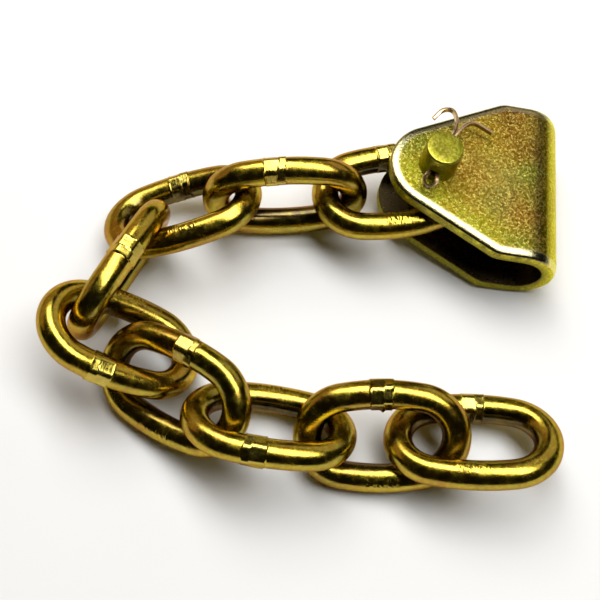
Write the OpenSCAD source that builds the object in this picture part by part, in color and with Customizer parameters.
// Load binder chain: nine welded links on a clevis pin in a bent-plate bracket.
// Frame: Z up, the floor is z = 0, the origin is under the middle of the whole piece.

/* [Chain] */
// Diameter of the link wire
wire_d = 10; // [8:0.5:12]
// Inner length of a link, which is the pitch of the chain
link_inner_l = 41; // [38:0.5:44]
// Inner width of a link
link_inner_w = 20; // [18:0.5:22]
// Roundness of a link's ends: the radius of the wire's centre line there, as a share of half its width
crown_share = 0.93; // [0.85:0.01:0.97]
// How far the weld stands proud of the wire
weld_rise = 0.4; // [0.2:0.1:0.8]
// Length of the weld along the wire
weld_l = 7; // [4:0.5:10]

/* [Bracket] */
// Thickness of the bracket plate
plate_t = 5.4; // [4:0.2:6.4]
// Gap between the two cheeks
cheek_gap = 19; // [16:0.5:20]
// Width of the plate at the bight
bracket_w = 63; // [50:1:70]
// Radius of the nose round the pin
nose_r = 17; // [15:0.5:20]
// Distance from the pin to the shoulders, where the taper ends
shoulder_x = 23.5; // [20:0.5:28]
// Distance from the pin to the outside of the bight
bight_x = 49; // [45:0.5:54]

/* [Clevis pin] */
// Diameter of the pin
pin_d = 13.5; // [12:0.1:14]
// Radial clearance of the pin in its two holes
pin_clearance = 0.08; // [0.05:0.01:0.1]
// How far the pin stands above the upper cheek
pin_stand = 12; // [10:0.5:15]
// Diameter of the pin's head
head_d = 19; // [16:0.5:22]
// Thickness of the pin's head
head_t = 2.8; // [2:0.1:2.8]
// End play between the head and the lower cheek
head_play = 0.2; // [0.1:0.05:0.3]
// Chamfer round the pin's free end and round its head
pin_chamfer = 0.4; // [0.3:0.1:1]

/* [Cotter pin] */
// Diameter of the cross hole in the pin
cross_hole_d = 3.6; // [3.2:0.1:4]
// Height of the cross hole above the upper cheek
cross_hole_h = 4; // [3:0.5:6]
// Direction of the cross hole round the pin, from the bracket's length
cross_hole_turn = 72; // [0:1:180]
// Diameter of one leg of the cotter pin
leg_d = 1.4; // [1.2:0.1:1.6]
// Outer diameter of the cotter pin's eye
eye_d = 5.8; // [5:0.1:6.5]

/* [Lay] */
// Direction of the bracket's length on the floor, seen from above
bracket_heading = -6.5; // [-10:0.5:0]
// Tilt of the bracket: its nose is held up by the pin's head
bracket_tilt = 6.8; // [6.8:0.1:9]

/* [Hidden] */
$fn = 96;

// The pin's place on the floor.
pin_xy = [44, 43.5];

// How each link lies, from the bracket to the free end:
// centre x, y, z, then the heading, the rise of its far end and its roll in degrees.
link_lay = [
    [ 30.8,  41.0, 19.0, 189,   2,   4],
    [ -9.5,  38.0, 20.0, 182,  -2, -82],
    [-47.5,  33.5, 17.0, 193, -10,  24],
    [-68.5,   8.0, 20.5, 244,   9,  75],
    [-67.0, -18.5, 18.5, -12, -29, -18],
    [-47.5, -36.0, 16.0, -31,  10,  38],
    [-14.5, -49.0, 16.0,  -6,  -8, -35],
    [ 24.0, -52.5, 14.0,  -1,   3,  36],
    [ 55.0, -54.0, 14.0,  -4,   5, -24]
];

// The bar that carries each link's weld: 1 is the left bar, -1 the right bar.
weld_bar = [-1, -1, -1, 1, -1, 1, -1, 1, 1];

// Half of the wire's centre line, along the link and across it.
half_l = (link_inner_l + wire_d) / 2;
half_w = (link_inner_w + wire_d) / 2;
// The bars are shallow arcs that run tangent into the crowns.
crown_r = crown_share * half_w;
crown_x = half_l - crown_r;
bar_r = (crown_x * crown_x + half_w * half_w - crown_r * crown_r) / (2 * (half_w - crown_r));
bar_y = bar_r - half_w;
crown_turn = atan2(bar_y, crown_x);
bar_turn = 180 - 2 * crown_turn;
// The bars run on into the crowns by this many degrees, and are thinner by this much to end inside them.
lap = 0.6;
bar_slim = 0.06;

cheek_top = cheek_gap / 2 + plate_t;
bend_x = bight_x - cheek_top;
bracket_z = cheek_top + bend_x * sin(bracket_tilt);

// Where the straight sides of a cheek touch the round nose.
shoulder_reach = norm([shoulder_x, bracket_w / 2]);
touch_turn = atan2(bracket_w / 2, shoulder_x) + acos(nose_r / shoulder_reach);
// Flats that make up the round nose.
nose_steps = 32;

bore_d = pin_d + 2 * pin_clearance;
cross_hole_z = cheek_top + cross_hole_h;
eye_r = (eye_d - leg_d) / 2;
// Facets round a leg of the cotter pin.
leg_facets = 12;

// The cotter pin's legs beyond the pin, in the bracket's own frame.
long_leg = [
    [2, 7, 19], [4.5, 12, 19.5], [5, 17, 20], [3, 20.5, 20.5], [-0.5, 20.5, 19.5], [-3.5, 17, 18.5]
];
short_leg = [[3, 7, 19], [5.5, 12, 19], [8.5, 16, 19], [11, 17.5, 19], [13.5, 17, 19], [18.5, 14.5, 19]];

function nose_point(turn) = [nose_r * cos(turn), nose_r * sin(turn)];

// Places what is drawn in the bracket's own frame: the pin's axis is z, the bight lies towards x.
module in_bracket_frame() {
    translate([pin_xy[0], pin_xy[1], bracket_z])
        rotate([0, 0, bracket_heading])
            rotate([0, bracket_tilt, 0])
                children();
}

// A stretch of round bar bent to a radius, turned from one angle through another.
module bent_bar(radius, from, through, d, facets = $fn) {
    rotate([0, 0, from])
        rotate_extrude(angle = through)
            translate([radius, 0])
                circle(d = d, $fn = facets);
}

// One link, lying flat about its own centre, with its weld on the bar at y > 0.
module flat_link() {
    weld_turn = 2 * asin(weld_l / 2 / bar_r);
    for (side = [0, 180])
        rotate([0, 0, side]) {
            translate([crown_x, 0])
                bent_bar(crown_r, -crown_turn, 2 * crown_turn, wire_d);
            translate([0, -bar_y])
                bent_bar(bar_r, crown_turn - lap, bar_turn + 2 * lap, wire_d - bar_slim);
        }
    translate([0, -bar_y])
        bent_bar(bar_r, 90 - weld_turn / 2, weld_turn, wire_d + 2 * weld_rise);
}

// A link where it lies in the chain.
module laid_link(n) {
    lay = link_lay[n - 1];
    color("darkgoldenrod")
        translate([lay[0], lay[1], lay[2]])
            rotate([0, 0, lay[3]])
                rotate([0, -lay[4], 0])
                    rotate([lay[5], 0, 0])
                        rotate([0, 0, weld_bar[n - 1] > 0 ? 0 : 180])
                            flat_link();
}

// The outline of a cheek, seen along the pin.
module cheek_outline() {
    nose = [for (n = [0 : nose_steps]) nose_point(touch_turn + n / nose_steps * (360 - 2 * touch_turn))];
    polygon(concat(nose, [
        [shoulder_x, -bracket_w / 2], [bight_x, -bracket_w / 2],
        [bight_x, bracket_w / 2], [shoulder_x, bracket_w / 2]
    ]));
}

// The U of the bent plate, seen from its side.
module plate_profile(r, reach) {
    translate([-reach, -r])
        square([bend_x + reach, 2 * r]);
    translate([bend_x, 0])
        circle(r = r);
}

module bracket() {
    color("goldenrod")
        in_bracket_frame()
            difference() {
                intersection() {
                    rotate([90, 0, 0])
                        linear_extrude(bracket_w, center = true)
                            difference() {
                                plate_profile(cheek_top, nose_r);
                                plate_profile(cheek_gap / 2, nose_r + 1);
                            }
                    linear_extrude(2 * cheek_top + 2, center = true)
                        cheek_outline();
                }
                cylinder(d = bore_d, h = 2 * cheek_top + 2, center = true);
            }
}

// A round bar with a chamfer on its upper rim.
module chamfered_bar(d, h) {
    cylinder(d = d, h = h - pin_chamfer);
    translate([0, 0, h - pin_chamfer])
        cylinder(d1 = d, d2 = d - 2 * pin_chamfer, h = pin_chamfer);
}

module clevis_pin() {
    head_z = cheek_top + head_play;
    color("darkkhaki")
        in_bracket_frame()
            difference() {
                union() {
                    translate([0, 0, -head_z])
                        chamfered_bar(pin_d, head_z + cheek_top + pin_stand);
                    translate([0, 0, -head_z])
                        mirror([0, 0, 1])
                            chamfered_bar(head_d, head_t);
                }
                translate([0, 0, cross_hole_z])
                    rotate([90, 0, cross_hole_turn + 90])
                        cylinder(d = cross_hole_d, h = 2 * pin_d, center = true);
            }
}

// A straight round rod between two points, with round ends.
module rod(a, b, d) {
    hull() {
        translate(a)
            sphere(d = d, $fn = leg_facets);
        translate(b)
            sphere(d = d, $fn = leg_facets);
    }
}

// A leg of the cotter pin: through the cross hole, then along its bent end.
module cotter_leg(side, bent_end) {
    along = [cos(cross_hole_turn), sin(cross_hole_turn), 0];
    across = [-sin(cross_hole_turn), cos(cross_hole_turn), 0];
    start = [0, 0, cross_hole_z] - along * (pin_d / 2 + 0.5) + across * side * leg_d / 2;
    route = concat([start], bent_end);
    for (n = [1 : len(route) - 1])
        rod(route[n - 1], route[n], leg_d);
}

module cotter_pin() {
    color("khaki")
        in_bracket_frame() {
            translate([0, 0, cross_hole_z])
                rotate([0, 0, cross_hole_turn])
                    translate([-pin_d / 2 - eye_r - leg_d / 2, 0, 0])
                        bent_bar(eye_r, 0, 360, leg_d, leg_facets, $fn = 48);
            cotter_leg(1, long_leg);
            cotter_leg(-1, short_leg);
        }
}

bracket();
clevis_pin();
cotter_pin();
laid_link(1);  // chain_link_1
laid_link(2);  // chain_link_2
laid_link(3);  // chain_link_3
laid_link(4);  // chain_link_4
laid_link(5);  // chain_link_5
laid_link(6);  // chain_link_6
laid_link(7);  // chain_link_7
laid_link(8);  // chain_link_8
laid_link(9);  // chain_link_9
